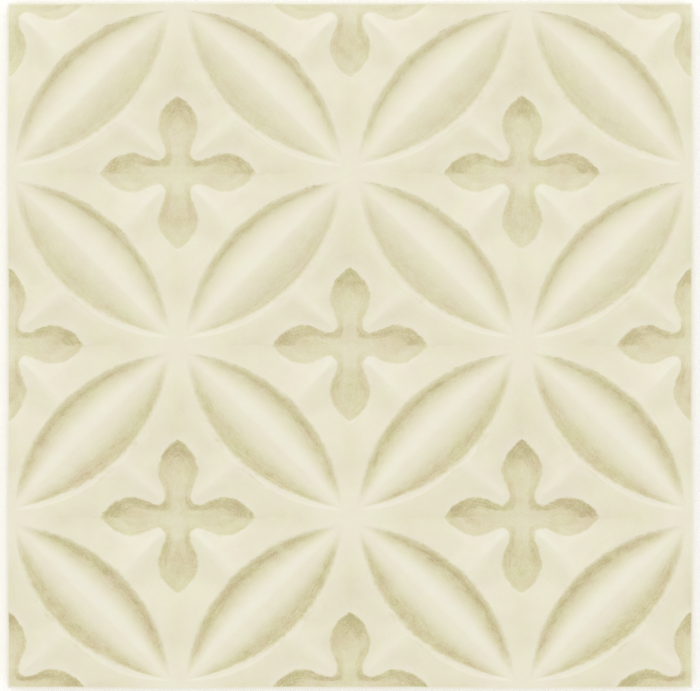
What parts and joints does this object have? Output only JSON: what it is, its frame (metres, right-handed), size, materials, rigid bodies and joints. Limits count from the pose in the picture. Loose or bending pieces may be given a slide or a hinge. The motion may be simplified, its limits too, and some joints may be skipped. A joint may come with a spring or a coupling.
{
  "type": "relief glazed tile",
  "caption": "Square ceramic wall tile with a carved, glazed face: overlapping circles that leave pointed petals, with sunken four-leaved flowers between them.",
  "frame": {"origin": "middle of the back, in the plane that the tile rests on", "axes": "X and Y along the tile's sides, +Z out of the carved face; +Y is the top edge of the picture"},
  "size_m": [0.148, 0.148, 0.01],
  "materials": {
    "glaze": "satin cream glaze, thin and pale on the ridges, pooled olive beige in the carving"
  },
  "bodies": {
    "root": {"relief_tile": "glaze"}
  },
  "joints": []
}
